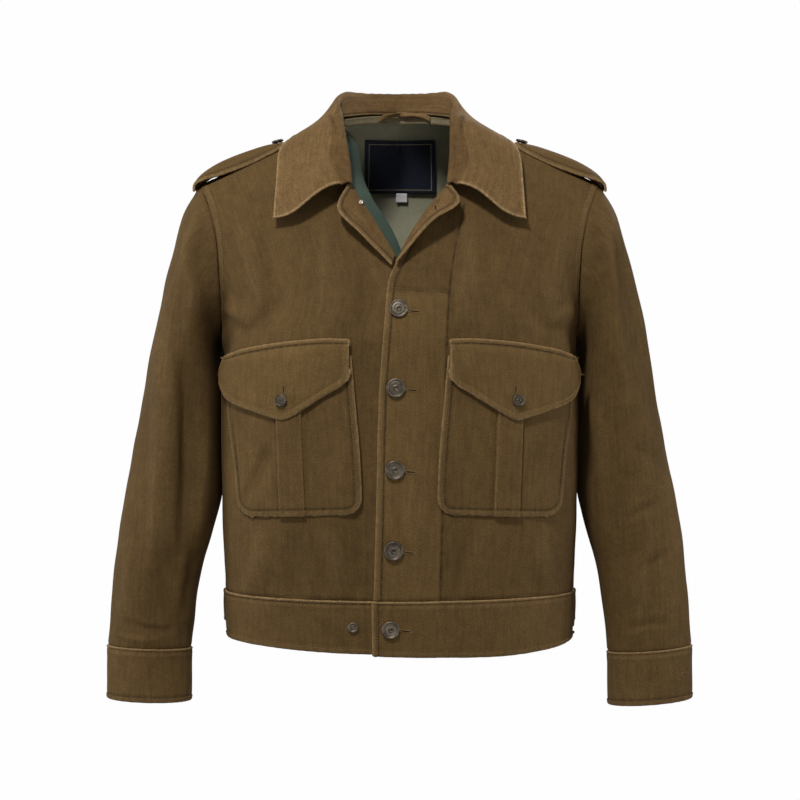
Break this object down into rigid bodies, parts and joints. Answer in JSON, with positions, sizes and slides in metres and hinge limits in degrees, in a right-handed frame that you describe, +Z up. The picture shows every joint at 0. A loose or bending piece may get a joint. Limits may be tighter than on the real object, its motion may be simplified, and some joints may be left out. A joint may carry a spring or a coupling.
{
  "type": "battle dress jacket, worn form",
  "caption": "Waist-length twill battle dress jacket in its hollow worn form, laid-open collar, flapped pleated chest pockets, shoulder straps, buttoned front and waistband",
  "frame": {"origin": "the nape: the middle of the back neck seam", "axes": "+X to the wearer's left, +Y to the back, -Y to the front, +Z up"},
  "size_m": [0.652, 0.2524, 0.6969],
  "materials": {
    "twill": "olive brown cotton twill, washed",
    "worn_twill": "olive brown cotton twill, worn paler on its edges",
    "khaki_lining": "khaki grey plain-woven cotton",
    "green_lining": "dark grey green plain-woven cotton",
    "label": "dark navy woven label, bare",
    "white_tape": "white woven tape, bare",
    "antique_metal": "dark antique metal with worn rims"
  },
  "bodies": {
    "root": {"back": "twill", "button_1": "antique_metal", "button_2": "antique_metal", "button_3": "antique_metal", "button_4": "antique_metal", "button_5": "antique_metal", "button_flap_left": "antique_metal", "button_flap_right": "antique_metal", "button_strap_left": "antique_metal", "button_strap_right": "antique_metal", "collar": "worn_twill", "cuff_left": "twill", "cuff_right": "twill", "epaulette_left": "twill", "epaulette_right": "twill", "flap_left": "worn_twill", "flap_right": "worn_twill", "front_left": "twill", "front_right": "twill", "hanger_loop": "worn_twill", "lapel_left": "worn_twill", "lapel_right": "worn_twill", "lining_back": "khaki_lining", "lining_front": "green_lining", "neck_label": "label", "neck_stud": "antique_metal", "neck_tape": "worn_twill", "pocket_left": "twill", "pocket_right": "twill", "size_tab": "white_tape", "sleeve_left": "twill", "sleeve_right": "twill", "tab_left": "twill", "tab_right": "twill", "waistband_back": "twill", "waistband_left": "twill", "waistband_right": "twill", "waistband_stud": "antique_metal"}
  },
  "joints": []
}
